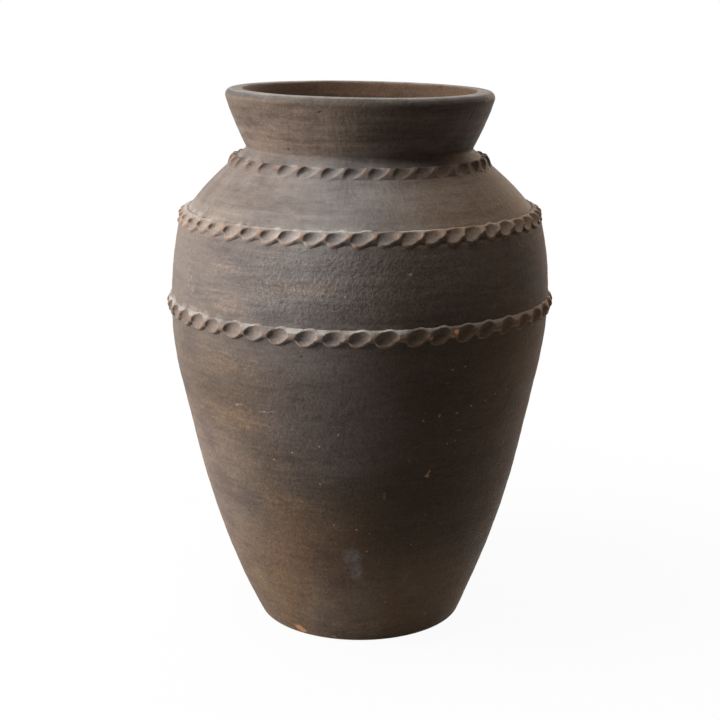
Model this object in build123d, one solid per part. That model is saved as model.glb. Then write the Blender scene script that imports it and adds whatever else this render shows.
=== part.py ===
from build123d import *
import math
import os

# Greek pithos: a tall storage jar of dark terracotta. It is built up in thrown
# courses that are luted one on another at bevelled joints, and three finger-pressed
# clay ropes are laid round it. Millimetres, +Z up, origin at the centre of the foot.

# Outer wall, from the foot up
foot_radius = 115.6
belly_radius = 211.0
shoulder_inset = 10.0       # from the belly in to the shoulder's corner
neck_radius = 125.2
rim_radius = 149.6
belly_height = 369.5
belly_to_shoulder = 88.5
shoulder_to_neck = 82.0
collar_rise = 60.0
belly_sweep = 382.0         # radius of the arc that leads the flank into the belly
flank_angle = 12.0          # degrees from vertical, on the straight stretch of flank
flank_length = 86.0
shoulder_bulge = 3.4        # how far the shoulder swells past a straight cone
collar_bulge = 1.2

# Thickness of the clay
wall_thickness = 17.0
floor_thickness = 22.0
throat_thickness = 20.0     # measured level, through the narrowest place
lip_width = 21.6            # across the top of the rim

# Rounded corners
foot_rounding = 6.0
cove_radius = 12.0          # inside, between floor and wall
neck_rounding = 6.0
throat_rounding = 12.0
lip_outer_rounding = 7.0
lip_inner_rounding = 4.0

# Courses, each the height of its outer face
base_upstand = 26.0         # wall thrown with the floor, above the floor
foot_course_height = 104.0
lower_course_height = 108.0
lip_height = 18.0
joint_slope = 15.0          # degrees, every joint falls towards the inside

# Clay ropes
rope_width = 18.0
rope_height = 5.5           # crest above the wall
rope_edge = 1.2             # height of the strip's own edge
rope_edge_gap = 0.5         # from the shoulder's corner to the shoulder rope
neck_rope_setback = 22.0    # from the neck's corner to the middle of the neck rope

# Finger presses along the ropes
press_depth = 3.6
press_length_radius = 18.0  # curve of a press along its length
press_width_radius = 8.5    # and across it
neck_press_pitch = 24.7
shoulder_press_pitch = 23.7
belly_press_pitch = 27.6
neck_press_lean = 40.0      # degrees, how far each press leans up to the right
shoulder_press_lean = 35.0
belly_press_lean = 25.0

# Levels and points that follow from the sizes above
shoulder_radius = belly_radius - shoulder_inset
shoulder_height = belly_height + belly_to_shoulder
neck_height = shoulder_height + shoulder_to_neck
overall_height = neck_height + collar_rise
foot_corner = Vector(foot_radius, 0)
belly_point = Vector(belly_radius, belly_height)
shoulder_corner = Vector(shoulder_radius, shoulder_height)
neck_corner = Vector(neck_radius, neck_height)
rim_corner = Vector(rim_radius, overall_height)
up = Vector(0, 1)


def outward_normal(tangent):
    """The side of a rising wall line that faces away from the axis."""
    return Vector(tangent.Y, -tangent.X).normalized()


def inside_corner(corner, lower_normal, upper_normal):
    """Where two wall faces meet again, one wall thickness further in."""
    mitre = (lower_normal + upper_normal) / (1 + lower_normal.dot(upper_normal))
    return corner - mitre * wall_thickness


def lower_wall(belly, sweep, foot):
    """Arc out of the belly, straight flank and arc into the foot, going down."""
    turn = math.radians(flank_angle)
    down = Vector(-math.sin(turn), -math.cos(turn))
    flank_top = belly + Vector(-sweep * (1 - math.cos(turn)), -sweep * math.sin(turn))
    flank_foot = flank_top + down * flank_length
    return [
        TangentArc(belly, flank_top, tangent=up * -1),
        Line(flank_top, flank_foot),
        TangentArc(flank_foot, foot, tangent=down),
    ]


# Outer wall line in the radius and height plane
below_belly = lower_wall(belly_point, belly_sweep, foot_corner)
above_belly = TangentArc(belly_point, shoulder_corner, tangent=up)
shoulder_line = SagittaArc(shoulder_corner, neck_corner, -shoulder_bulge)
collar_line = SagittaArc(neck_corner, rim_corner, -collar_bulge)
outline = make_face(
    [Line((0, 0), foot_corner)]
    + below_belly
    + [above_belly, shoulder_line, collar_line]
    + [Line(rim_corner, (0, overall_height)), Line((0, overall_height), (0, 0))]
)

# Inner wall line, one wall thickness in, with the collar thickened towards its lip
foot_normal = outward_normal((below_belly[-1] % 1) * -1)
inner_foot = foot_corner - foot_normal * wall_thickness
inner_belly = belly_point - Vector(wall_thickness, 0)
inner_shoulder = inside_corner(
    shoulder_corner,
    outward_normal(above_belly % 1),
    outward_normal(shoulder_line % 0),
)
throat_corner = neck_corner - Vector(throat_thickness, 0)
lip_inner_corner = rim_corner - Vector(lip_width, 0)
hollow = make_face(
    [Line((0, inner_foot.Y), inner_foot)]
    + lower_wall(inner_belly, belly_sweep - wall_thickness, inner_foot)
    + [
        TangentArc(inner_belly, inner_shoulder, tangent=up),
        SagittaArc(inner_shoulder, throat_corner, -shoulder_bulge),
        Line(throat_corner, lip_inner_corner),
        Line(lip_inner_corner, (0, overall_height)),
        Line((0, overall_height), (0, inner_foot.Y)),
    ]
)
floor_block = make_face(
    Polyline(
        (0, 0),
        (belly_radius, 0),
        (belly_radius, floor_thickness),
        (0, floor_thickness),
        close=True,
    )
)
section = (outline - (hollow - floor_block)).face()


def rounded(face, corner, radius):
    """The face with the corner nearest to a point rounded."""
    vertex = face.vertices().sort_by_distance(corner)[0]
    return face.fillet_2d(radius, [vertex])


floor_edge = inner_foot + Vector(0, floor_thickness - inner_foot.Y)
section = rounded(section, foot_corner, foot_rounding)
section = rounded(section, floor_edge, cove_radius)
section = rounded(section, neck_corner, neck_rounding)
section = rounded(section, throat_corner, throat_rounding)
section = rounded(section, rim_corner, lip_outer_rounding)
section = rounded(section, lip_inner_corner, lip_inner_rounding)

# Where each rope runs on the wall
shoulder_rope_point = shoulder_line.position_at(
    rope_edge_gap + rope_width / 2, position_mode=PositionMode.LENGTH
)
neck_rope_point = shoulder_line.position_at(
    shoulder_line.length - neck_rope_setback, position_mode=PositionMode.LENGTH
)

# Courses, from the bottom up, and the outer height at which each one ends
foot_joint = floor_thickness + base_upstand
lower_joint = foot_joint + foot_course_height
middle_joint = lower_joint + lower_course_height
courses = [
    ("base_pan", foot_joint),
    ("foot_course", lower_joint),
    ("lower_course", middle_joint),
    ("middle_course", belly_height),
    ("belly_course", shoulder_rope_point.Y),
    ("shoulder_course", neck_height),
    ("neck_collar", overall_height - lip_height),
]
joint_reach = wall_thickness + lip_width    # how far a joint's line runs past the wall


def wall_point(height):
    """The point of the outer wall at a height."""
    level = Line((0, height), (2 * belly_radius, height))
    return Vector((level & outline).vertices().sort_by(Axis.X)[-1])


def joint_ends(height):
    """The inner and outer ends of a joint's line, both clear of the wall."""
    fall = math.radians(joint_slope)
    along = Vector(math.cos(fall), math.sin(fall)) * joint_reach
    return wall_point(height) - along, wall_point(height) + along


def turned(face, angle=360):
    """A face of the radius and height plane, turned about the jar's axis."""
    return revolve(Plane.XZ * face, axis=Axis.Z, revolution_arc=angle)


def course(lower_ends, upper_ends):
    """The ring of wall between two joints."""
    lower_inner, lower_outer = lower_ends
    upper_inner, upper_outer = upper_ends
    strip = make_face(
        Polyline(lower_inner, lower_outer, upper_outer, upper_inner, close=True)
    )
    return turned((section & strip).face())


def rope(middle, wall_tangent, pitch, lean):
    """A clay strip laid round the wall and pressed with a finger at a steady pitch."""
    normal = outward_normal(wall_tangent)
    along = wall_tangent.normalized() * (rope_width / 2)
    root = normal * -wall_thickness / 2     # drawn from inside the wall, which trims it
    edge = normal * rope_edge
    crest = middle + normal * rope_height
    strip = make_face(
        [
            Polyline(
                middle - along + edge,
                middle - along + root,
                middle + along + root,
                middle + along + edge,
            ),
            ThreePointArc(middle + along + edge, crest, middle - along + edge),
        ]
    )
    ring = turned((strip - outline).face())

    # One finger press: the rim of a rounded wheel, set on its edge in the strip
    count = round(2 * math.pi * middle.X / pitch)
    out = Vector(normal.X, 0, normal.Y)
    around = Vector(0, 1, 0)
    rise = Vector(wall_tangent.X, 0, wall_tangent.Y).normalized()
    turn = math.radians(lean)
    length_way = around * math.cos(turn) + rise * math.sin(turn)
    press_floor = Vector(crest.X, 0, crest.Y) - out * press_depth
    hub = Plane(
        press_floor + out * press_length_radius,
        x_dir=out,
        z_dir=length_way.cross(out),
    )
    wheel = hub * Torus(press_length_radius - press_width_radius, press_width_radius)
    wheel_width = 2 * press_length_radius
    finger_end = Plane(press_floor, z_dir=out) * Cylinder(
        wheel_width,
        press_depth + rope_edge,
        align=(Align.CENTER, Align.CENTER, Align.MIN),
    )
    press = wheel & finger_end
    return ring - [Rot(0, 0, 360 * k / count) * press for k in range(count)]


os.makedirs("parts", exist_ok=True)

# Base pan: the floor and the start of the wall, thrown in one piece
pan_inner, pan_outer = joint_ends(foot_joint)
pan_area = make_face(
    Polyline(
        (0, 0),
        (pan_outer.X, 0),
        pan_outer,
        pan_inner,
        (0, pan_inner.Y),
        close=True,
    )
)
export_step(turned((section & pan_area).face()), "parts/base_pan.step")

# Courses above it
for (_, start), (node, end) in zip(courses, courses[1:]):
    export_step(course(joint_ends(start), joint_ends(end)), f"parts/{node}.step")

# Rim lip, above the last joint
lip_inner, lip_outer = joint_ends(courses[-1][1])
lip_top = (
    Vector(lip_inner.X, overall_height),
    Vector(lip_outer.X, overall_height),
)
export_step(course((lip_inner, lip_outer), lip_top), "parts/rim_lip.step")

# Ropes
ropes = [
    ("belly_rope", belly_point, up, belly_press_pitch, belly_press_lean),
    (
        "shoulder_rope",
        shoulder_rope_point,
        shoulder_line % ((rope_edge_gap + rope_width / 2) / shoulder_line.length),
        shoulder_press_pitch,
        shoulder_press_lean,
    ),
    (
        "neck_rope",
        neck_rope_point,
        shoulder_line % (1 - neck_rope_setback / shoulder_line.length),
        neck_press_pitch,
        neck_press_lean,
    ),
]
for node, middle, wall_tangent, pitch, lean in ropes:
    export_step(rope(middle, wall_tangent, pitch, lean), f"parts/{node}.step")
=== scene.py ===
import bpy
import math
import random
from mathutils import Matrix, Vector


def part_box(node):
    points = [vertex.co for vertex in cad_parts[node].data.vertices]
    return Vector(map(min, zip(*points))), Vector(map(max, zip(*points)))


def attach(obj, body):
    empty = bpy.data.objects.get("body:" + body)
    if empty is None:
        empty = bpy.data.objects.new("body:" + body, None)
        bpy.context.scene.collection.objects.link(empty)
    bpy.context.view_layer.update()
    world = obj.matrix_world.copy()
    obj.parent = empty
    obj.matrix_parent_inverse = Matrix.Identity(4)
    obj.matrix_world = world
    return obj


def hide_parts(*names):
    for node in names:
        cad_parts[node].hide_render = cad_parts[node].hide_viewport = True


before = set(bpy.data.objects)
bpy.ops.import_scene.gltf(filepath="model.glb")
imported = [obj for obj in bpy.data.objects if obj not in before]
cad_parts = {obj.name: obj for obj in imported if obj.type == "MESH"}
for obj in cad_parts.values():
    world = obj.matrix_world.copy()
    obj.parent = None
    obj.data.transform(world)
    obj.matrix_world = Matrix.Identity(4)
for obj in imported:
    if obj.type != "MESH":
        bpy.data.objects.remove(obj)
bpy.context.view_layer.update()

from types import SimpleNamespace

mm = 0.001

# wall of the jar: the sizes of its solids, with the neck sunk and the foot spread a little,
# as the soft clay settled
jar = {
    "footRadius": 116.0 * mm,
    "bellyRadius": 211.0 * mm,
    "shoulderInset": 10.0 * mm,
    "neckRadius": 124.2 * mm,
    "rimRadius": 149.6 * mm,
    "bellyHeight": 369.5 * mm,
    "shoulderHeight": 458.0 * mm,
    "neckHeight": 536.8 * mm,
    "rimHeight": 600.0 * mm,
    "bellySweep": 382.0 * mm,
    "flankAngle": math.radians(12.0),
    "flankLength": 86.0 * mm,
    "shoulderBulge": 4.2 * mm,
    "collarBulge": 2.0 * mm,
    "wall": 17.0 * mm,
    "floor": 22.0 * mm,
    "throat": 20.0 * mm,
    "lip": 21.6 * mm,
    "footRounding": 4.5 * mm,
    "cove": 12.0 * mm,
    "neckRounding": 4.0 * mm,
    "throatRounding": 12.0 * mm,
    "lipOuterRounding": 7.0 * mm,
    "lipInnerRounding": 4.0 * mm,
    "jointSlope": math.radians(15.0),
    "outerStep": 3.0 * mm,      # rows of the mesh, outside
    "innerStep": 7.0 * mm,      # inside
    "jointStep": 4.0 * mm,      # and across a joint
    "jointClear": 0.4 * mm,     # no row is closer than this to a joint
    "weld": 0.01 * mm,          # points closer than this are one
    "around": 256,
}

# pieces of the wall from the bottom up, and the outer height where each one ends
courses = [
    ("base_pan", 48.0 * mm),
    ("foot_course", 152.0 * mm),
    ("lower_course", 260.0 * mm),
    ("middle_course", jar["bellyHeight"]),
    ("belly_course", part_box("belly_course")[1][2]),
    ("shoulder_course", jar["neckHeight"]),
    ("neck_collar", 582.0 * mm),
    ("rim_lip", jar["rimHeight"]),
]


def deselect():
    if bpy.context.object and bpy.context.object.mode != "OBJECT":
        bpy.ops.object.mode_set(mode="OBJECT")
    bpy.ops.object.select_all(action="DESELECT")


def pick(*pieces):
    deselect()
    for piece in pieces:
        piece.select_set(True)
    bpy.context.view_layer.objects.active = pieces[0]


def applyAll(piece):
    pick(piece)
    for name in [m.name for m in piece.modifiers]:
        bpy.ops.object.modifier_apply(modifier=name)


# lines of the wall, as points (radius, height)
def tangentArc(start, along, end, step):
    chord = end - start
    side = Vector((-along.y, along.x))
    turn = 2 * math.atan2(chord.dot(side), chord.dot(along))
    radius = chord.length_squared / (2 * chord.dot(side))
    count = max(2, round(abs(radius * turn) / step))
    points = []
    for i in range(count + 1):
        a = turn * i / count
        points.append(start + along * radius * math.sin(a) + side * radius * (1 - math.cos(a)))
    return points


def bulgedArc(start, end, bulge, step):
    chord = end - start
    lead = math.atan(2 * bulge / chord.length) * 2
    along = chord.normalized()
    side = Vector((along.y, -along.x))
    return tangentArc(start, along * math.cos(lead) + side * math.sin(lead), end, step)


def straight(start, end, step):
    count = max(1, round((end - start).length / step))
    return [start.lerp(end, i / count) for i in range(count + 1)]


def roundCorner(points, corner, radius, count=8):
    # the two arms leave the corner at the first points that are clear of the rounding
    i = min(range(len(points)), key=lambda k: (points[k] - corner).length)
    before = (points[i - 2] - corner).normalized()
    after = (points[i + 2] - corner).normalized()
    half = before.angle(after) / 2
    reach = radius / math.tan(half)
    a = corner + before * reach
    b = corner + after * reach
    centre = corner + (before + after).normalized() * (radius / math.sin(half))
    arc = []
    for k in range(count + 1):
        spoke = (a - centre).lerp(b - centre, k / count)
        arc.append(centre + spoke.normalized() * radius)
    head = [p for p in points[:i] if (p - corner).length > reach * 1.1]
    tail = [p for p in points[i + 1:] if (p - corner).length > reach * 1.1]
    return head + arc + tail


def joinLines(*lines):
    points = list(lines[0])
    for line in lines[1:]:
        points += line[1:]
    return points


def lowerWall(belly, sweep, foot, step):
    a = jar["flankAngle"]
    down = Vector((-math.sin(a), -math.cos(a)))
    flankTop = belly - Vector((sweep * (1 - math.cos(a)), sweep * math.sin(a)))
    flankFoot = flankTop + down * jar["flankLength"]
    return joinLines(
        tangentArc(belly, Vector((0, -1)), flankTop, step),
        straight(flankTop, flankFoot, step),
        tangentArc(flankFoot, down, foot, step),
    )


def wallLines():
    step = jar["outerStep"]
    up = Vector((0, 1))
    foot = Vector((jar["footRadius"], 0))
    belly = Vector((jar["bellyRadius"], jar["bellyHeight"]))
    shoulder = Vector((jar["bellyRadius"] - jar["shoulderInset"], jar["shoulderHeight"]))
    neck = Vector((jar["neckRadius"], jar["neckHeight"]))
    rim = Vector((jar["rimRadius"], jar["rimHeight"]))
    lower = lowerWall(belly, jar["bellySweep"], foot, step)
    upper = tangentArc(belly, up, shoulder, step)
    cone = bulgedArc(shoulder, neck, jar["shoulderBulge"], step)
    collar = bulgedArc(neck, rim, jar["collarBulge"], step)
    outer = joinLines(straight(Vector((0, 0)), foot, step * 4), lower[::-1], upper, cone, collar)

    # one wall thickness further in
    def inward(a, b):
        way = (b - a).normalized()
        return Vector((-way.y, way.x)) * jar["wall"]

    step = jar["innerStep"]
    innerFoot = foot + inward(lower[-1], lower[-2])
    innerBelly = belly - Vector((jar["wall"], 0))
    n1, n2 = inward(upper[-2], upper[-1]), inward(cone[0], cone[1])
    innerShoulder = shoulder + (n1 + n2) / (1 + n1.dot(n2) / jar["wall"] ** 2)
    throat = neck - Vector((jar["throat"], 0))
    lipInner = rim - Vector((jar["lip"], 0))
    lowerIn = lowerWall(innerBelly, jar["bellySweep"] - jar["wall"], innerFoot, step)
    lowerIn = [p for p in lowerIn if p.y > jar["floor"] + step / 3]
    floorEdge = lowerIn[-1] + (lowerIn[-1] - lowerIn[-2]) * (
        (lowerIn[-1].y - jar["floor"]) / (lowerIn[-2].y - lowerIn[-1].y))
    inner = joinLines(
        straight(rim, lipInner, step / 3),
        straight(lipInner, throat, step / 2),
        bulgedArc(innerShoulder, throat, jar["shoulderBulge"], step)[::-1],
        tangentArc(innerBelly, up, innerShoulder, step)[::-1],
        lowerIn,
    ) + straight(floorEdge, Vector((0, jar["floor"])), step)

    line = outer + inner[1:]
    for corner, radius in (
        (foot, "footRounding"), (neck, "neckRounding"), (rim, "lipOuterRounding"),
        (lipInner, "lipInnerRounding"), (throat, "throatRounding"), (floorEdge, "cove"),
    ):
        line = roundCorner(line, corner, jar[radius])
    return line


wallLine = wallLines()
topIndex = max(range(len(wallLine)), key=lambda k: (round(wallLine[k].y, 6), -k))
outerLine = wallLine[:topIndex + 1]
innerLine = wallLine[topIndex:]
jointFall = Vector((-math.cos(jar["jointSlope"]), -math.sin(jar["jointSlope"])))
print("wall line:", len(outerLine), "points outside,", len(innerLine), "inside")

# what throwing left on the outer wall
throwing = {
    # rings of the potter's fingers, as waves of the radius: size, length, start
    "rings": [(0.10 * mm, 41 * mm, 0.4), (0.06 * mm, 17 * mm, 2.1), (0.04 * mm, 9.5 * mm, 1.3)],
    "plainFoot": 20 * mm,       # the rings fade out over this height at the foot
    "plainRim": 12 * mm,        # and over this one at the rim
    # where the shoulder sank while it was soft
    "sunkDepth": 1.0 * mm,
    "sunkHeight": 514 * mm,
    "sunkSpread": 14 * mm,
}


def ringed(point):
    fade = min(1, point.y / throwing["plainFoot"], (jar["rimHeight"] - point.y) / throwing["plainRim"])
    wave = sum(size * math.sin(math.tau * point.y / length + start)
               for size, length, start in throwing["rings"])
    above = (point.y - throwing["sunkHeight"]) / throwing["sunkSpread"]
    sunk = throwing["sunkDepth"] * math.exp(-above ** 2)
    return Vector((point.x + wave * max(0, fade) - sunk, point.y))


def pointAtHeight(line, height):
    for a, b in zip(line, line[1:]):
        if a.y <= height <= b.y and b.y > a.y:
            return a.lerp(b, (height - a.y) / (b.y - a.y))


def jointEnds(height):
    # every joint falls towards the inside, from the outer wall to the inner one
    start = pointAtHeight(outerLine, height)

    def side(p):
        return jointFall.cross(p - start)

    crossings = []
    for a, b in zip(innerLine, innerLine[1:]):
        if side(a) * side(b) <= 0 and side(a) != side(b):
            crossings.append(a.lerp(b, side(a) / (side(a) - side(b))))
    return start, min(crossings, key=lambda p: (p - start).length)


def courseSection(startHeight, endHeight):
    bottom = jointEnds(startHeight) if startHeight else None
    top = jointEnds(endHeight) if endHeight < jar["rimHeight"] else None
    gap = jar["jointClear"]
    outside = [p for p in outerLine
               if (not bottom or p.y > startHeight + gap) and (not top or p.y < endHeight - gap)]
    inside = [p for p in innerLine[1:]
              if (not bottom or jointFall.cross(p - bottom[0]) < -gap and p.y > jar["floor"] + gap)
              and (not top or jointFall.cross(p - top[0]) > gap)]
    section = ([ringed(bottom[0])] if bottom else []) + [ringed(p) for p in outside]
    if top:
        section += straight(ringed(top[0]), top[1], jar["jointStep"])
    section += inside
    if bottom:
        section += straight(bottom[1], ringed(bottom[0]), jar["jointStep"])[:-1]
    return section


def spinSection(name, section, closed=True):
    # a section of the radius and height plane, turned about the axis of the jar
    deselect()
    bpy.ops.mesh.primitive_circle_add(vertices=len(section), radius=jar["wall"])
    piece = bpy.context.object
    piece.name = piece.data.name = "pot_" + name
    for vertex, point in zip(piece.data.vertices, section):
        vertex.co = (point.x, 0, point.y)
    bpy.ops.object.mode_set(mode="EDIT")
    bpy.ops.mesh.select_mode(type="EDGE")
    if not closed:
        bpy.ops.mesh.select_all(action="DESELECT")
        bpy.ops.object.mode_set(mode="OBJECT")
        for edge in piece.data.edges:
            edge.select = set(edge.vertices) == {0, len(section) - 1}
        bpy.ops.object.mode_set(mode="EDIT")
        bpy.ops.mesh.delete(type="EDGE")
    bpy.ops.mesh.select_all(action="SELECT")
    bpy.ops.mesh.spin(steps=jar["around"], angle=math.tau, use_auto_merge=True,
                      center=(0, 0, 0), axis=(0, 0, 1))
    bpy.ops.mesh.select_all(action="SELECT")
    bpy.ops.mesh.remove_doubles(threshold=jar["weld"])
    bpy.ops.mesh.normals_make_consistent(inside=False)
    bpy.ops.object.mode_set(mode="OBJECT")
    return piece


pieces = {}
startHeight = 0
for name, endHeight in courses:
    # only the base reaches the axis, and its section is open there
    pieces[name] = spinSection(name, courseSection(startHeight, endHeight), closed=startHeight > 0)
    startHeight = endHeight
print("thrown:", {k: len(p.data.polygons) for k, p in pieces.items()})


# clay ropes: a strip round the wall, swollen and dished where a slanting finger pressed it
# sizes across a strip are up the wall from its middle, and out of the wall
ropes = {
    "belly_rope": {
        "radius": 211.0 * mm, "height": 369.5 * mm, "tilt": 0.0, "count": 48, "turn": 0.4, "seed": 3,
        "strip": [(-5.0, 0.3), (-4.4, 2.2), (-3.2, 4.2), (-1.6, 5.3), (0.0, 5.6), (2.2, 5.0), (4.6, 3.8),
                  (6.8, 2.1), (7.8, 0.5)],
        "pad": {"size": (12.8, 9.2, 6.2), "lean": 25, "up": -0.8, "out": -0.8},
        "press": {"size": (12.5, 8.9, 5.2), "lean": 26, "dip": 5, "roll": -7, "up": -0.3, "out": 6.0},
    },
    "shoulder_rope": {
        "radius": 195.4 * mm, "height": 465.8 * mm, "tilt": 37.0, "count": 52, "turn": 0.85, "seed": 5,
        "strip": [(-5.4, 0.3), (-4.8, 2.2), (-3.5, 4.9), (-1.8, 6.3), (0.0, 6.4), (2.2, 5.6), (5.0, 3.8),
                  (7.6, 1.9), (8.8, 0.5)],
        "pad": {"size": (13.4, 8.5, 5.5), "lean": 34, "up": -0.3, "out": -0.7},
        "press": {"size": (13.3, 8.8, 5.0), "lean": 36, "dip": 7, "roll": -6, "up": 0.1, "out": 6.3},
    },
    "neck_rope": {
        "radius": 139.9 * mm, "height": 523.0 * mm, "tilt": 46.0, "count": 36, "turn": -1.7, "seed": 8,
        "strip": [(-8.4, 0.2), (-6.4, 1.5), (-3.6, 3.2), (-0.2, 4.7), (2.4, 5.5), (4.6, 5.0), (6.2, 2.9),
                  (7.0, 0.3)],
        "pad": {"size": (12.8, 8.8, 2.2), "lean": 34, "up": -0.8, "out": -0.6},
        "press": {"size": (16.5, 7.6, 5.2), "lean": 39, "dip": 6, "roll": -9, "up": -0.4, "out": 5.6},
    },
}

# what the three ropes share
ropeWork = {
    "root": 3.0 * mm,           # how deep a strip is bedded in the wall
    "unevenness": 0.06,         # from press to press, in turn and size
    "strayLean": 60,            # the same share of these degrees, in lean
    "strayUp": 9 * mm,          # of this way up the wall
    "strayOut": 5 * mm,         # and of this way out of it
    "padVoxel": 0.95 * mm,      # strip and pads are kneaded into one, as fine as this
    "padRounds": 2,             # and smoothed
    "pressVoxel": 0.85 * mm,    # then the same after the presses
    "pressRounds": 3,
    "rubRounds": 14,            # smoothing that takes every ridge away
    "triangles": 160000,
}


def ropeAxes(rope, turn):
    # out of the wall, up the wall and round the wall, at an angle from the front
    a, t = math.radians(turn - 90), math.radians(rope["tilt"])
    out = Vector((math.cos(a) * math.cos(t), math.sin(a) * math.cos(t), math.sin(t)))
    up = Vector((-math.cos(a) * math.sin(t), -math.sin(a) * math.sin(t), math.cos(t)))
    return out, up, Vector((-math.sin(a), math.cos(a), 0))


def ropePlace(rope, mark, turn, lean, lift, depth):
    # X lies along the finger, Y across it and Z out of the wall
    out, up, around = ropeAxes(rope, turn)
    middle = Vector((around.y, -around.x, 0)) * rope["radius"] + Vector((0, 0, rope["height"]))
    spot = middle + up * (mark["up"] * mm + lift) + out * (mark["out"] * mm + depth)
    flat = Matrix((around, up, out)).transposed()
    turned = (flat @ Matrix.Rotation(math.radians(lean), 3, "Z")
              @ Matrix.Rotation(math.radians(-mark.get("dip", 0)), 3, "Y")
              @ Matrix.Rotation(math.radians(mark.get("roll", 0)), 3, "X"))
    return Matrix.Translation(spot) @ turned.to_4x4()


def copyRound(rope, mark):
    # one copy for each press, none quite like the next
    deselect()
    bpy.ops.mesh.primitive_uv_sphere_add(segments=48, ring_count=32, radius=1)
    model = bpy.context.object
    bpy.ops.object.mode_set(mode="EDIT")
    bpy.ops.mesh.select_all(action="SELECT")
    bpy.ops.transform.resize(value=[length * mm for length in mark["size"]])
    bpy.ops.object.mode_set(mode="OBJECT")
    drift = random.Random(rope["seed"])
    unevenness = ropeWork["unevenness"]
    pitch = 360 / rope["count"]
    copies = []
    for i in range(rope["count"]):
        turn = rope["turn"] + pitch * (i + drift.uniform(-1, 1) * unevenness)
        lean = mark["lean"] + ropeWork["strayLean"] * drift.uniform(-1, 1) * unevenness
        grow = 1 + drift.uniform(-1, 1) * unevenness
        lift = ropeWork["strayUp"] * drift.uniform(-1, 1) * unevenness
        depth = ropeWork["strayOut"] * drift.uniform(-1, 1) * unevenness
        copy = model.copy()
        copy.data = model.data.copy()
        bpy.context.collection.objects.link(copy)
        copy.matrix_world = ropePlace(rope, mark, turn, lean, lift, depth) @ Matrix.Scale(grow, 4)
        copies.append(copy)
    pick(*copies)
    bpy.ops.object.join()
    bpy.data.objects.remove(model)
    return bpy.context.object


def soften(piece, rounds):
    rub = piece.modifiers.new("rub", "SMOOTH")
    rub.factor = 0.5
    rub.iterations = rounds
    applyAll(piece)


def remesh(piece, voxel, rounds):
    knead = piece.modifiers.new("knead", "REMESH")
    knead.mode = "VOXEL"
    knead.voxel_size = voxel
    soften(piece, rounds)


def markWear(piece, rope):
    # for the clay's colour: how far each point stands out of the same rope rubbed smooth and how far up
    # the rope it lies, in mm, and how far it stands out of the wall, as a share of the whole strip
    pick(piece)
    bpy.ops.object.duplicate()
    rubbed = bpy.context.object
    soften(rubbed, ropeWork["rubRounds"])
    tilt = math.radians(rope["tilt"])
    c, s = math.cos(tilt), math.sin(tilt)
    crest = max(b for a, b in rope["strip"]) * mm
    wear = {"ridge": [], "out": [], "up": []}
    for a, b in zip(piece.data.vertices, rubbed.data.vertices):
        reach = a.co.xy.length - rope["radius"]
        rise = a.co.z - rope["height"]
        wear["ridge"].append((a.co - b.co).dot(a.normal) / mm)
        wear["out"].append((reach * c + rise * s) / crest)
        wear["up"].append((rise * c - reach * s) / mm)
    for name, values in wear.items():
        piece.data.attributes.new(name, "FLOAT", "POINT").data.foreach_set("value", values)
    bpy.data.objects.remove(rubbed)


def layRope(name, rope):
    out, up, around = ropeAxes(rope, 90)
    middle = Vector((rope["radius"], rope["height"]))
    rise, reach = Vector((up.x, up.z)), Vector((out.x, out.z))
    line = [middle + rise * a * mm + reach * b * mm for a, b in rope["strip"]]
    ends = (rope["strip"][-1][0], rope["strip"][0][0])
    root = [middle + rise * a * mm - reach * ropeWork["root"] for a in ends]
    piece = spinSection(name, line + root)
    pads = copyRound(rope, rope["pad"])
    pick(piece, pads)
    bpy.ops.object.join()
    remesh(piece, ropeWork["padVoxel"], ropeWork["padRounds"])
    presses = copyRound(rope, rope["press"])
    press = piece.modifiers.new("press", "BOOLEAN")
    press.operation = "DIFFERENCE"
    press.solver = "MANIFOLD"
    press.object = presses
    applyAll(piece)
    bpy.data.objects.remove(presses)
    remesh(piece, ropeWork["pressVoxel"], ropeWork["pressRounds"])
    markWear(piece, rope)
    lighten = piece.modifiers.new("lighten", "DECIMATE")
    lighten.ratio = min(1, ropeWork["triangles"] / len(piece.data.polygons) / 2)
    applyAll(piece)
    return piece


for name, rope in ropes.items():
    pieces[name] = layRope(name, rope)
    print("laid", name, len(pieces[name].data.polygons), "faces")


# what the hand left uneven: lean of the axis, tilt of the rim
handmade = {
    "size": (0.5, 0.5, 0.64), "middle": (0, 0, 0.3), "levels": 13,
    # level by level, mm to the right and mm down on the right
    "lean": [0.6, -1.1, -1.4, -1.5, -1.6, -1.7, -1.8, -0.7, 0.3, 0.2, -0.5, 0.0, 0.3],
    "tilt": [0, 0, 0, 0, 0, 0, 0, 0, 0, 0, 1.2, 3.0, 3.2],
    "rimBack": 0.8 * mm,
    "waveSize": 70 * mm, "waveDepth": 0.4 * mm,
    "flatFoot": 15 * mm,       # no waves in the face it stands on
    "creaseAngle": math.radians(35),
}


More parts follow.
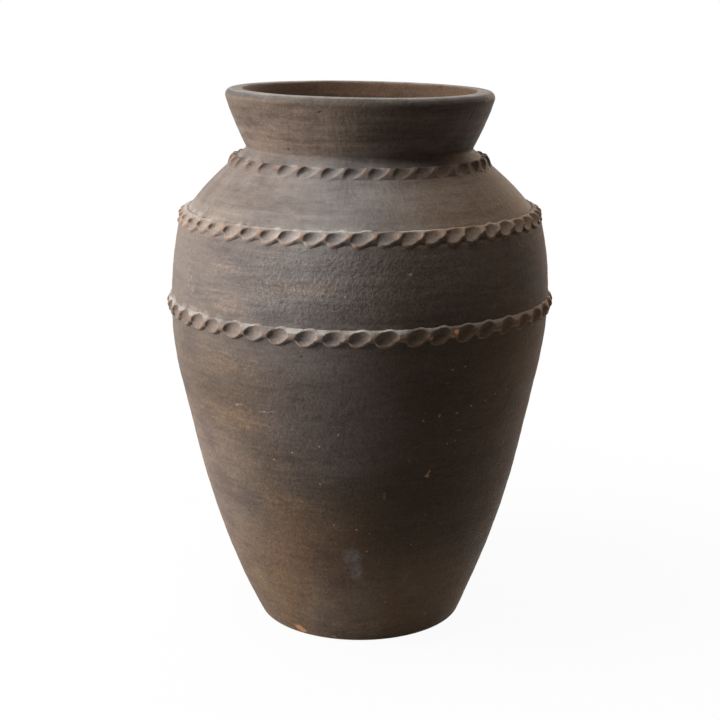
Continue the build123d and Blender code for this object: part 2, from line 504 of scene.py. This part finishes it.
def handShape(parts):
    deselect()
    bpy.ops.object.add(type="LATTICE", location=handmade["middle"])
    cage = bpy.context.object
    cage.scale = handmade["size"]
    cage.data.points_u = cage.data.points_v = 3
    cage.data.points_w = handmade["levels"]
    for kind in ("u", "v", "w"):
        setattr(cage.data, "interpolation_type_" + kind, "KEY_CARDINAL")
    for point in cage.data.points:
        level = round((point.co.z + 0.5) * (handmade["levels"] - 1))
        point.co_deform.x += handmade["lean"][level] * mm / cage.scale.x
        shift = -point.co.x * 2 * handmade["tilt"][level] * mm
        if level == handmade["levels"] - 1:
            shift += point.co.y * 2 * handmade["rimBack"]
        point.co_deform.z += shift / cage.scale.z
    waves = bpy.data.textures.new("handWaves", "CLOUDS")
    waves.cloud_type = "COLOR"
    waves.noise_scale = handmade["waveSize"]
    for part in parts:
        bend = part.modifiers.new("bend", "LATTICE")
        bend.object = cage
        wavy = part.modifiers.new("wavy", "DISPLACE")
        wavy.texture = waves
        wavy.texture_coords = "LOCAL"
        wavy.direction = "RGB_TO_XYZ"
        wavy.strength = handmade["waveDepth"]
        if part == pieces["base_pan"]:
            free = part.vertex_groups.new(name="free")
            for vertex in part.data.vertices:
                free.add([vertex.index], min(1, vertex.co.z / handmade["flatFoot"]), "REPLACE")
            wavy.vertex_group = "free"
        applyAll(part)
        bpy.ops.object.shade_smooth_by_angle(angle=handmade["creaseAngle"])
    bpy.data.objects.remove(cage)


handShape(pieces.values())
for name in ropes:
    pick(pieces[name])
    bpy.ops.object.shade_smooth()
print("shaped by hand")


# shader maths: a wire carries a value, and expressions on wires add the nodes
class Wire:
    def __init__(self, tree, socket):
        self.tree = tree
        self.socket = socket

    def node(self, kind, settings=None, values=None, out=0):
        made = self.tree.nodes.new("ShaderNode" + kind)
        for key, value in (settings or {}).items():
            setattr(made, key, value)
        for key, value in (values or {}).items():
            if isinstance(value, Wire):
                self.tree.links.new(value.socket, made.inputs[key])
            else:
                made.inputs[key].default_value = value
        return Wire(self.tree, made.outputs[out])

    def math(self, operation, other):
        return self.node("Math", {"operation": operation}, {0: self, 1: other})

    def __add__(self, other):
        return self.math("ADD", other)

    def __radd__(self, other):
        return self.math("ADD", other)

    def __sub__(self, other):
        return self.math("SUBTRACT", other)

    def __rsub__(self, other):
        return self.node("Math", {"operation": "SUBTRACT"}, {0: other, 1: self})

    def __mul__(self, other):
        return self.math("MULTIPLY", other)

    def __rmul__(self, other):
        return self.math("MULTIPLY", other)

    def max(self, other):
        return self.math("MAXIMUM", other)

    def swing(self, amount):
        # the ups and downs of a noise about its middle
        return (self - 0.5) * amount

    def step(self, low, high):
        # smooth 0 to 1 between two values, either way round
        return self.node("MapRange", {"interpolation_type": "SMOOTHSTEP", "clamp": True},
                         {"Value": self, "From Min": low, "From Max": high, "To Min": 0.0, "To Max": 1.0})

    def between(self, low, full, still, high):
        # 1 in a belt of values, fading at both of its ends
        return self.step(low, full) * self.step(high, still)

    def vector(self, operation, other, out=0):
        return self.node("VectorMath", {"operation": operation}, {0: self, 1: other}, out)

    def stretched(self, x, y, z):
        return self.vector("MULTIPLY", (x, y, z))

    def times(self, amount):
        return self.node("VectorMath", {"operation": "SCALE"}, {0: self, "Scale": amount})

    def axis(self, name):
        return self.node("SeparateXYZ", {}, {0: self}, name)

    def channel(self, name):
        return self.node("SeparateColor", {}, {0: self}, name)

    def noise(self, scale, detail, roughness):
        return self.node("TexNoise", {"noise_dimensions": "3D"}, {
            "Vector": self, "Scale": scale, "Detail": detail, "Roughness": roughness})

    def cells(self, scale, out):
        return self.node("TexVoronoi", {"feature": "F1"}, {"Vector": self, "Scale": scale}, out)

    def dots(self, scale, share, size):
        # a round dot in some of the cells, each cell with its own size of dot
        cell = self.cells(scale, "Color")
        chosen = cell.channel("Red").step(1 - share, 1.01 - share)
        reach = cell.channel("Green") * size + size * 0.4
        return (reach - self.cells(scale, "Distance")).step(0.0, size * 0.5) * chosen

    def blend(self, kind, colour, amount):
        return self.node("Mix", {"data_type": "RGBA", "blend_type": kind, "clamp_factor": True},
                         {0: amount, 6: self, 7: (*colour, 1.0)}, 2)

    def tint(self, colour, amount):
        # this colour, with another one laid over it
        return self.blend("MIX", colour, amount)

    def through(self, glass, amount):
        # this colour, seen through coloured glass
        return self.blend("MULTIPLY", glass, amount)


def newMaterial(name):
    material = bpy.data.materials.new(name)
    material.use_nodes = True
    tree = material.node_tree
    shader = next(n for n in tree.nodes if n.type == "BSDF_PRINCIPLED")
    position = Wire(tree, tree.nodes.new("ShaderNodeTexCoord").outputs["Object"])
    normal = Wire(tree, tree.nodes.new("ShaderNodeNewGeometry").outputs["Normal"])
    return material, shader, position, normal


def connect(wire, shader, socket):
    wire.tree.links.new(wire.socket, shader.inputs[socket])


# smoked clay of the wall: colours, glasses to look through, places, belts and marks
# a place is its angle from the front, its height, and how far its core and its outer edge reach
# a belt starts, is full, is still full and ends, up the wall or across it
# a mark is its angle from the front, height, half length, half width, in mm, and its lean
clay = {
    "brown": (0.210, 0.152, 0.110),
    "dark": (0.143, 0.108, 0.089),
    "soot": (0.121, 0.083, 0.055),
    # grey of the ash, which is also the painted sheen on the lit left of the belly and shoulder
    "ashSheen": (0.285, 0.250, 0.230),
    "warm": (0.268, 0.166, 0.097),
    "tan": (0.252, 0.187, 0.146),
    "red": (0.250, 0.143, 0.090),
    "sandy": (0.30, 0.215, 0.155),
    "violet": (0.195, 0.160, 0.150),
    # dust; on the top of the rim and along the tops of the ropes this colour also paints a highlight
    "dust": (0.48, 0.435, 0.385),
    "bare": (0.78, 0.39, 0.21),
    "pale": (0.46, 0.43, 0.39),
    "smudge": (0.36, 0.335, 0.315),
    "scuff": (0.27, 0.25, 0.23),
    "scar": (0.035, 0.024, 0.018),
    "pit": (0.03, 0.022, 0.017),
    "inside": (0.131, 0.079, 0.051),
    "lip": (0.112, 0.092, 0.080),
    "smokeGlass": (0.76, 0.76, 0.80),
    "rubGlass": (1.42, 1.30, 1.16),
    "roundAt": 200 * mm,        # radius at which the wall is laid out
    "roughness": 0.55,
    "shine": 0.05,
    "bumpStrength": 0.55,
    "bumpDepth": 1.0 * mm,
    "ropeTops": [378.3 * mm, 472.8 * mm, 527.8 * mm],
    "sootFront": (33, 0.21, 0.08, 0.30),
    "sootBehind": (-159.8, 0.26, 0.08, 0.28),
    "violetCloud": (-10.1, 0.275, 0.03, 0.11),
    "redPatch": (-18.9, 0.10, 0.02, 0.10),
    "sandyPatch": (-8.7, 0.02, 0.03, 0.10),
    "wipedPatch": (-32, 0.57, 0.03, 0.14),
    "sootBelt": (0.06, 0.14, 0.345, 0.42),
    "ashSheenBelt": (0.29, 0.41, 0.53, 0.56),
    "edgeBelt": (0.26, 0.36, 0.45, 0.47),
    "lowBelt": (0.05, 0.11, 0.22, 0.29),
    "rightBelt": (0.37, 0.41, 0.45, 0.48),
    "beatenBelt": (0.37, 0.40, 0.44, 0.465),
    "beatenWidth": (-0.16, -0.08, 0.04, 0.14),
    "bareMarks": [
        (18.8, 277.7, 1.4, 1.1, 0), (24.1, 281.2, 1.5, 1.2, 0), (29.9, 281.8, 1.3, 1.0, 0),
        (35.1, 286.7, 1.6, 1.2, 0), (40.5, 288.9, 1.4, 1.1, 0), (44.5, 294.0, 1.5, 1.2, 0),
        (50.3, 294.2, 1.3, 1.0, 0), (26.8, 330.8, 1.5, 0.9, 20), (31.1, 332.0, 1.7, 0.9, 10),
        (28.2, 247.2, 1.1, 1.1, 0), (22.1, 212.9, 2.6, 2.2, 0), (-9.1, 158.6, 1.2, 1.0, 0),
        (-1.2, 152.7, 1.2, 1.0, 0), (3.5, 147.9, 1.3, 1.0, 0), (2.6, 125.0, 1.1, 1.0, 0),
        (-13.0, 206.7, 1.1, 0.9, 0), (11.4, 55.7, 1.6, 1.1, 0), (34.7, 27.5, 2.2, 1.4, 30),
        (-34.0, 7.5, 13.0, 4.4, -10), (-14.4, 4.5, 3.5, 1.6, 0), (35.2, 4.5, 3.0, 1.5, 0),
        (-28.2, 229.7, 1.3, 0.9, 0), (-21.5, 240.3, 1.2, 0.7, 0), (-6.4, 264.8, 1.0, 0.9, 0),
        (-12.4, 250.4, 0.9, 1.1, 0), (31.0, 249.5, 1.1, 1.0, 0), (31.6, 260.5, 4.2, 0.5, 0),
        (50.1, 22.7, 1.4, 3.6, -20), (14.0, 431.8, 2.4, 1.2, 0), (22.6, 216.5, 1.2, 3.6, -25),
    ],
    "paleMarks": [
        (-4.1, 411.0, 1.2, 1.1, 0), (-18.9, 214.2, 1.0, 0.9, 0), (-17.1, 218.8, 0.9, 0.8, 0),
        (23.4, 165.7, 1.1, 0.9, 0), (19.4, 130.3, 1.0, 0.9, 0), (-9.7, 33.7, 1.1, 0.9, 0),
        (-26.8, 420.5, 1.0, 0.9, 0), (-38.6, 286.2, 4.4, 0.9, 6), (-31.0, 282.8, 21.0, 0.7, 8),
    ],
    "scuffs": [
        (18.1, 84.7, 4.0, 11.0, -38), (10.1, 64.9, 9.0, 2.4, -16), (-38.0, 42.1, 4.0, 4.0, 0),
        (-50.5, 30.7, 7.0, 2.6, 0), (8.0, 194.7, 1.8, 7.0, 0), (23.3, 66.6, 8.0, 7.0, 0),
        (-58.3, 407.7, 9.0, 15.0, 20),
    ],
    "darkMarks": [
        (-16.3, 349.3, 1.6, 1.2, 0), (-16.5, 586.4, 4.4, 1.3, 4), (-35.0, 545.4, 2.4, 1.2, 0),
        (54.1, 579.5, 11.0, 1.8, 64),
    ],
    "rubs": [
        (-38, 333, 60, 14, 0), (-40, 268, 65, 18, 0), (-17, 213, 42, 8, 0), (-28, 180, 55, 14, 0),
        (-23, 583, 28, 5, 0), (-25, 552, 75, 7, 0), (-42, 431, 20, 13, 0), (-45, 396, 40, 14, 0),
        (-13, 416, 46, 10, 0), (-13, 487, 45, 10, 0), (44, 411, 32, 24, 0), (57, 225, 25, 32, 0),
        (3, 22, 60, 14, 0), (150, 300, 70, 20, 0), (-110, 410, 60, 15, 0), (105, 250, 60, 20, 0),
        (-150, 190, 60, 16, 0), (170, 570, 70, 8, 0), (-100, 560, 60, 6, 0),
    ],
    "smudges": [(-2.8, 119.0, 14.5, 11.0, 0), (-1.4, 99.0, 9.5, 12.0, 0)],
}


def near(wrapped, place):
    # 1 about a place on the wall, fading from its core to its outer edge
    angle, height, core, outer = place
    a = math.radians(angle)
    spot = (clay["roundAt"] * math.sin(a), -clay["roundAt"] * math.cos(a), height)
    return wrapped.vector("DISTANCE", spot, "Value").step(outer, core)


def marked(unrolled, marks, outer=1.25, core=0.6):
    # 1 on any of the marks, fading from its core to its outer edge
    total = None
    for angle, height, long, wide, lean in marks:
        place = (math.radians(angle) * clay["roundAt"], height * mm, 0)
        local = unrolled.node("Mapping", {"vector_type": "TEXTURE"}, {
            "Vector": unrolled, "Location": place, "Rotation": (0, 0, math.radians(lean)),
            "Scale": (long * outer * mm, wide * outer * mm, 1.0)})
        inward = local.node("TexGradient", {"gradient_type": "SPHERICAL"}, {"Vector": local}, "Fac")
        spot = inward.step(0.0, 1 - core / outer)
        total = total.max(spot) if total else spot
    return total


def wallPlaces(position, normal):
    # where a point lies on the jar, with the wall laid out flat and on a cylinder
    height, across = position.axis("Z"), position.axis("X")
    level = position.stretched(1, 1, 0)
    around = across.math("ARCTAN2", position.axis("Y") * -1) * clay["roundAt"]
    cylinder = level.vector("NORMALIZE", (0, 0, 0)).times(clay["roundAt"])
    return SimpleNamespace(
        position=position, height=height, across=across, around=around,
        facingUp=normal.axis("Z"),
        outward=level.vector("DOT_PRODUCT", normal, "Value"),
        unrolled=around.node("CombineXYZ", {}, {0: around, 1: height}),
        wrapped=cylinder.vector("ADD", height.node("CombineXYZ", {}, {2: height})),
    )


def wallNoise(at):
    return SimpleNamespace(
        bands=at.wrapped.stretched(3.0, 3.0, 30).noise(1.0, 4, 0.55),
        streaks=at.wrapped.stretched(5, 5, 130).noise(1.0, 5, 0.6),
        strokes=at.wrapped.stretched(36, 36, 240).noise(1.0, 4, 0.65),
        clouds=at.wrapped.noise(7.0, 3, 0.5),
        patches=at.wrapped.stretched(13, 13, 26).noise(1.0, 4, 0.6),
        mottle=at.wrapped.noise(38.0, 4, 0.6),
        lumps=at.wrapped.noise(120.0, 3, 0.55),
        sand=at.position.noise(280.0, 3, 0.6),
        grain=at.position.noise(620.0, 3, 0.6),
    )


def wallZones(at, noise):
    # parts of the wall that more than one finish needs
    shoulder = at.height.step(0.455, 0.475)
    # ash, and with it a painted sheen, on the upper belly and shoulder left of the front
    ashAndSheen = at.height.between(*clay["ashSheenBelt"]) * (at.across - shoulder * 0.03).step(0.06, -0.06)
    # the top of the rim, pale with dust and a painted highlight
    lip = at.height.step(0.584, 0.592) * at.facingUp.step(0.8, 0.99)
    settled = at.facingUp.step(0.3, 1.0) * (noise.streaks + noise.mottle).step(0.8, 1.25)
    beaten = at.height.between(*clay["beatenBelt"]) * at.across.between(*clay["beatenWidth"])
    return SimpleNamespace(
        shoulder=shoulder,
        ashAndSheen=ashAndSheen * (1.0 - 0.6 * at.across.step(-0.05, -0.16)),
        collar=at.height.step(0.536, 0.546),
        inside=at.outward.step(0.005, -0.02),
        dustAndHighlight=lip * 0.45 + settled * 0.2,
        beaten=beaten,
        pits=at.wrapped.dots(190.0, 0.035, 0.16),
    )


def firedColour(at, noise, zones):
    base = (noise.bands * 0.9 + noise.streaks * 0.6 + noise.clouds * 0.7).step(1.32, 0.92)
    colour = base.node("RGB")
    colour.socket.default_value = (*clay["brown"], 1)
    colour = colour.tint(clay["dark"], base * 0.7)

    # soot of the firing, thickest low on the right and at the back
    soot = near(at.wrapped, clay["sootFront"]).max(near(at.wrapped, clay["sootBehind"]))
    soot = soot * 0.85 + noise.clouds.swing(1.2) + noise.streaks.swing(0.7) + 0.1
    colour = colour.tint(clay["soot"], at.height.between(*clay["sootBelt"]) * soot)

    # grey ash above, on the left of the belly and across the shoulder, which turns brown on the right; on
    # the lit left it also paints the sheen of the lamps
    colour = colour.tint(clay["tan"], zones.shoulder * at.height.step(0.56, 0.53) * 0.8)
    ashSheen = 1.0 - 0.2 * zones.shoulder + noise.clouds.swing(1.2) + noise.streaks.swing(0.8)
    colour = colour.tint(clay["ashSheen"], zones.ashAndSheen * ashSheen)
    leftEdge = at.height.step(0.474, 0.492) * at.across.step(-0.04, -0.17) * 0.65
    leftEdge = leftEdge + at.height.between(*clay["edgeBelt"]) * at.across.step(-0.15, -0.21) * 0.4
    rightEdge = zones.shoulder * at.across.step(0.10, 0.15) * 0.85
    colour = colour.tint(clay["dark"], leftEdge.max(rightEdge))
    lowLeft = at.height.between(*clay["lowBelt"]) * at.across.step(-0.09, -0.15)
    colour = colour.tint(clay["tan"], lowLeft * 0.75)

    # a violet cloud below the belly
    violet = near(at.wrapped, clay["violetCloud"]) * (0.55 + noise.patches.swing(1.2))
    colour = colour.tint(clay["violet"], violet)

    # warm bare clay round the foot and down the right
    low = at.height.step(0.16, 0.03) * (0.75 + noise.clouds.swing(1.4) + noise.mottle.swing(0.6))
    right = at.across.step(0.08, 0.19)
    warm = low.max(right * 0.8).max(zones.shoulder * at.across.step(0.02, 0.13) * 0.6)
    colour = colour.tint(clay["warm"], warm)
    red = near(at.wrapped, clay["redPatch"]) * (0.7 + noise.mottle.swing(0.9))
    colour = colour.tint(clay["red"], red * 0.8)
    sandy = near(at.wrapped, clay["sandyPatch"]) * (0.8 + noise.mottle.swing(1.5))
    colour = colour.tint(clay["sandy"], sandy)
    return colour.tint(clay["tan"], right * at.height.between(*clay["rightBelt"]) * 0.6)


def wipedCollar(colour, at, noise, zones):
    # the collar was wiped in bands, and is palest left of the front
    wiped = near(at.wrapped, clay["wipedPatch"]) * 0.22
    wipe = (noise.bands * 0.5 + noise.streaks * 0.5 + noise.patches * 0.5 + wiped).step(0.68, 0.98)
    colour = colour.tint(clay["dark"], zones.collar * at.across.step(0.0, 0.09) * 0.7)
    colour = colour.tint(clay["tan"], zones.collar * at.height.step(0.594, 0.574) * wipe)
    colour = colour.tint(clay["lip"], at.height.step(0.580, 0.590) * at.facingUp.step(0.1, 0.6))
    return colour.tint(clay["inside"], zones.inside)


def wornColour(colour, at, noise, zones):
    # smoke in clouds, brown rubbed through it in short strokes, and dust on what faces up, with a painted
    # highlight on the top of the rim
    smoky = (noise.patches * 0.7 + noise.strokes * 0.5 + noise.clouds * 0.4).step(0.86, 0.62)
    colour = colour.through(clay["smokeGlass"], smoky)
    rubs = marked(at.unrolled, clay["rubs"], 1.6, 0.0) * 0.22
    rubbed = (noise.patches * 0.7 + noise.strokes * 0.8 + noise.sand * 0.3 + rubs).step(0.98, 1.36)
    colour = colour.through(clay["rubGlass"], rubbed * (1.0 - 0.5 * zones.shoulder))
    colour = colour.tint(clay["dust"], zones.dustAndHighlight)

    # specks and pits
    colour = colour.tint(clay["tan"], at.wrapped.dots(150.0, 0.06, 0.17) * 0.7)
    colour = colour.tint(clay["pale"], at.wrapped.dots(85.0, 0.012, 0.09) * 0.7)
    colour = colour.tint(clay["pale"], at.wrapped.dots(120.0, 0.035, 0.13) * zones.inside * 0.6)
    colour = colour.tint(clay["pit"], zones.pits * 0.6)

    # single marks, with ragged edges
    sideways = at.position.noise(260.0, 2, 0.5).swing(4.0 * mm)
    upwards = at.position.vector("ADD", (1, 1, 1)).noise(260.0, 2, 0.5).swing(4.0 * mm)
    shaken = at.height.node("CombineXYZ", {}, {0: at.around + sideways, 1: at.height + upwards})
    ragged = (noise.mottle + noise.sand * 0.6).step(0.66, 0.92)
    smudges = marked(shaken, clay["smudges"], 1.3, 0.3) * (ragged * 0.35 + 0.35)
    colour = colour.tint(clay["smudge"], smudges)
    colour = colour.tint(clay["scuff"], marked(shaken, clay["scuffs"]) * ragged * 0.5)
    colour = colour.tint(clay["pale"], marked(shaken, clay["paleMarks"]) * ragged * 0.8)
    colour = colour.tint(clay["scar"], marked(shaken, clay["darkMarks"]) * 0.7)
    colour = colour.tint(clay["bare"], marked(shaken, clay["bareMarks"]) * 0.85)

    # grain of the clay, strongest where it was beaten and weakest under the ash and painted sheen
    fine = 1.25 - 0.8 * zones.ashAndSheen + zones.beaten * 0.8
    shade = 1.0 + noise.streaks.swing(0.25) + noise.strokes.swing(0.2) + noise.mottle.swing(0.25)
    shade = shade + (noise.sand.swing(0.5) + noise.grain.swing(0.8)) * fine
    return colour.times(shade + zones.collar * noise.streaks.swing(0.7))


def clayRelief(noise, zones):
    dents = noise.clouds.step(0.45, 0.62) * 0.8 + 0.7 + zones.beaten * 1.2
    gritty = (noise.sand + noise.grain * 0.6) * (0.8 + zones.beaten * 0.7)
    return noise.lumps * dents + gritty + noise.streaks * 0.2 - zones.pits * 0.8


def clayLook(position, normal):
    at = wallPlaces(position, normal)
    noise = wallNoise(at)
    zones = wallZones(at, noise)
    colour = firedColour(at, noise, zones)
    colour = wipedCollar(colour, at, noise, zones)
    colour = wornColour(colour, at, noise, zones)
    rough = clay["roughness"] + noise.mottle.swing(0.2) + zones.dustAndHighlight * 0.2
    return colour, rough, clayRelief(noise, zones), at, noise


def finishClay(shader, colour, rough, relief):
    connect(colour, shader, "Base Color")
    connect(rough, shader, "Roughness")
    bumped = relief.node("Bump", {}, {
        "Strength": clay["bumpStrength"], "Distance": clay["bumpDepth"], "Height": relief})
    connect(bumped, shader, "Normal")
    shader.inputs["Specular IOR Level"].default_value = clay["shine"]


def wallClay():
    material, shader, position, normal = newMaterial("smokedClay")
    colour, rough, relief, at, noise = clayLook(position, normal)
    # a broken pale line along the top of every rope, dust and a painted highlight on the lit ledge, least
    # of it on the right
    patchy = noise.mottle.step(0.42, 0.62) * (1.0 - 0.8 * at.across.step(-0.02, 0.08))
    for top in clay["ropeTops"]:
        line = at.height.between(top - 4 * mm, top, top + 1 * mm, top + 6 * mm)
        colour = colour.tint(clay["dust"], line * patchy * 0.35)
    finishClay(shader, colour, rough, relief)
    return material


# ropes: the same clay, rubbed bare on the ridges between presses, with dust along the top
ropeWear = {
    "worn": (0.38, 0.212, 0.135),
    "dust": (0.58, 0.535, 0.48),
    "chipped": (0.95, 0.42, 0.20),
    "bellyGlass": (1.45, 1.41, 1.35),
    "shoulderGlass": (1.3, 1.28, 1.25),
    "chips": [(19.6, 367.4, 2.4, 2.0, 20), (26.9, 371.0, 3.0, 3.2, 0), (25.8, 368.0, 2.2, 1.0, 0)],
}


def ropeClay():
    material, shader, position, normal = newMaterial("ropeClay")
    colour, rough, relief, at, noise = clayLook(position, normal)
    ridge, out, up = [colour.node("Attribute", {"attribute_name": name}, {}, "Fac")
                      for name in ("ridge", "out", "up")]

    # paler on the belly at the front and right, and on the left of the shoulder
    upper = at.height.step(0.40, 0.44)
    onBelly = (1.0 - upper) * (at.across.step(-0.15, -0.02) * 0.6 + 0.4)
    colour = colour.through(ropeWear["bellyGlass"], onBelly)
    onShoulder = upper * at.height.step(0.50, 0.48) * at.across.step(-0.02, -0.08)
    colour = colour.through(ropeWear["shoulderGlass"], onShoulder)

    # bare clay along crests and edges, least of it on the belly
    patchy = noise.mottle.swing(0.8) + noise.sand.swing(0.7)
    crest = (out + patchy * 0.6).step(0.62, 0.98) * up.step(4.5, 1.5)
    edge = (ridge + patchy * 0.5).step(0.08, 0.32) * up.step(4.0, 1.0)
    colour = colour.tint(ropeWear["worn"], crest.max(edge) * (upper * 0.45 + 0.35))

    # dust along the top, least of it on the two sides
    settled = up.step(2.2 + upper * 2.3, 4.8 + upper * 2.7) * at.facingUp.step(0.1, 0.45) * 0.85
    settled = settled * (noise.mottle + noise.streaks.swing(0.6)).step(0.36, 0.58)
    sides = (1.0 - 0.7 * at.across.step(0.02, 0.12)) * (1.0 - 0.45 * at.across.step(-0.05, -0.15))
    colour = colour.tint(ropeWear["dust"], settled * sides)
    colour = colour.tint(ropeWear["chipped"], marked(at.unrolled, ropeWear["chips"]))
    finishClay(shader, colour, rough, relief)
    return material


wallMaterial = wallClay()
ropeMaterial = ropeClay()
print("clay mixed")

for name, piece in pieces.items():
    piece.data.materials.clear()
    piece.data.materials.append(ropeMaterial if name in ropes else wallMaterial)
    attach(piece, "root")
    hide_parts(name)
    "rope_terracotta" if name in ropes else "smoked_terracotta"


# studio: white surround, a broad soft lamp low on the left, weaker ones above and behind
studio = {
    "floorSize": 12.0,
    "floorColour": (0.90, 0.90, 0.90),
    "floorBounce": (0.25, 0.25, 0.25),
    "floorShade": 0.05,        # share of the lamps' light in what is seen of the floor
    "floorFades": (0.2, 1.0),  # it thins out to none over this way from the jar
    "surround": 0.02,          # light that comes from all round
    "lampSize": 1.1,
    "aim": (0, 0, 0.32),
    "lamps": {
        "keyLamp": {"place": (-1.81, -0.32, 0.81), "power": 44.0, "colour": (1, 1, 1)},
        "highLamp": {"place": (-0.70, -0.40, 2.04), "power": 17.0, "colour": (0.93, 0.97, 1.0)},
        "topLamp": {"place": (0.0, -0.03, 2.22), "power": 8.0, "colour": (1, 1, 1)},
        "edgeLamp": {"place": (1.02, 1.46, 0.97), "power": 9.7, "colour": (1, 0.80, 0.59)},
    },
}


def seenDirectly(tree):
    rays = tree.nodes.new("ShaderNodeLightPath")
    seen = Wire(tree, rays.outputs["Is Camera Ray"])
    for other in ("Is Glossy Ray", "Is Transmission Ray"):
        seen = seen.max(Wire(tree, rays.outputs[other]))
    return seen


def layFloor():
    deselect()
    bpy.ops.mesh.primitive_plane_add(size=studio["floorSize"])
    ground = bpy.context.object
    ground.name = "studio_floor"
    material, shader, position, normal = newMaterial("paleFloor")
    tree = material.node_tree
    seen = seenDirectly(tree)
    bounce = seen.node("BsdfDiffuse", {}, {"Color": (*studio["floorBounce"], 1)})
    paper = seen.node("BsdfDiffuse", {}, {"Color": (*studio["floorColour"], 1)})
    white = seen.node("Emission", {}, {"Color": (1, 1, 1, 1), "Strength": 1.0})
    away = position.vector("LENGTH", (0, 0, 0), "Value").step(*studio["floorFades"])
    plain = away * studio["floorShade"] + (1 - studio["floorShade"])
    paper = seen.node("MixShader", {}, {0: plain, 1: paper, 2: white})
    mixed = seen.node("MixShader", {}, {0: seen, 1: bounce, 2: paper})
    tree.links.new(mixed.socket, tree.nodes["Material Output"].inputs["Surface"])
    tree.nodes.remove(shader)
    ground.data.materials.append(material)


def lightWorld():
    world = bpy.data.worlds.new("studioSurround")
    bpy.context.scene.world = world
    world.use_nodes = True
    tree = world.node_tree
    tree.nodes.clear()
    seen = seenDirectly(tree)
    strength = seen * (1 - studio["surround"]) + studio["surround"]
    glow = seen.node("Background", {}, {"Color": (1, 1, 1, 1), "Strength": strength})
    out = tree.nodes.new("ShaderNodeOutputWorld")
    tree.links.new(glow.socket, out.inputs["Surface"])


def hangLamp(name, lamp):
    light = bpy.data.lights.new(name, "AREA")
    light.size = studio["lampSize"]
    light.energy = lamp["power"]
    light.color = lamp["colour"]
    holder = bpy.data.objects.new(name, light)
    bpy.context.collection.objects.link(holder)
    holder.location = lamp["place"]
    aim = Vector(studio["aim"]) - holder.location
    holder.rotation_euler = aim.to_track_quat("-Z", "Y").to_euler()


layFloor()
lightWorld()
for name, lamp in studio["lamps"].items():
    hangLamp(name, lamp)

# camera, where the photograph was taken from
view = {"place": (0, -1.62444, 0.7043), "pitch": 14.17, "lens": 73.2, "sensor": 36.0}
lens = bpy.data.cameras.new("photoView")
lens.lens = view["lens"]
lens.sensor_width = view["sensor"]
camera = bpy.data.objects.new("photoView", lens)
bpy.context.collection.objects.link(camera)
camera.location = view["place"]
camera.rotation_euler = (math.radians(90 - view["pitch"]), 0, 0)
bpy.context.scene.camera = camera
bpy.context.scene.view_settings.view_transform = "Standard"
print("studio lit")
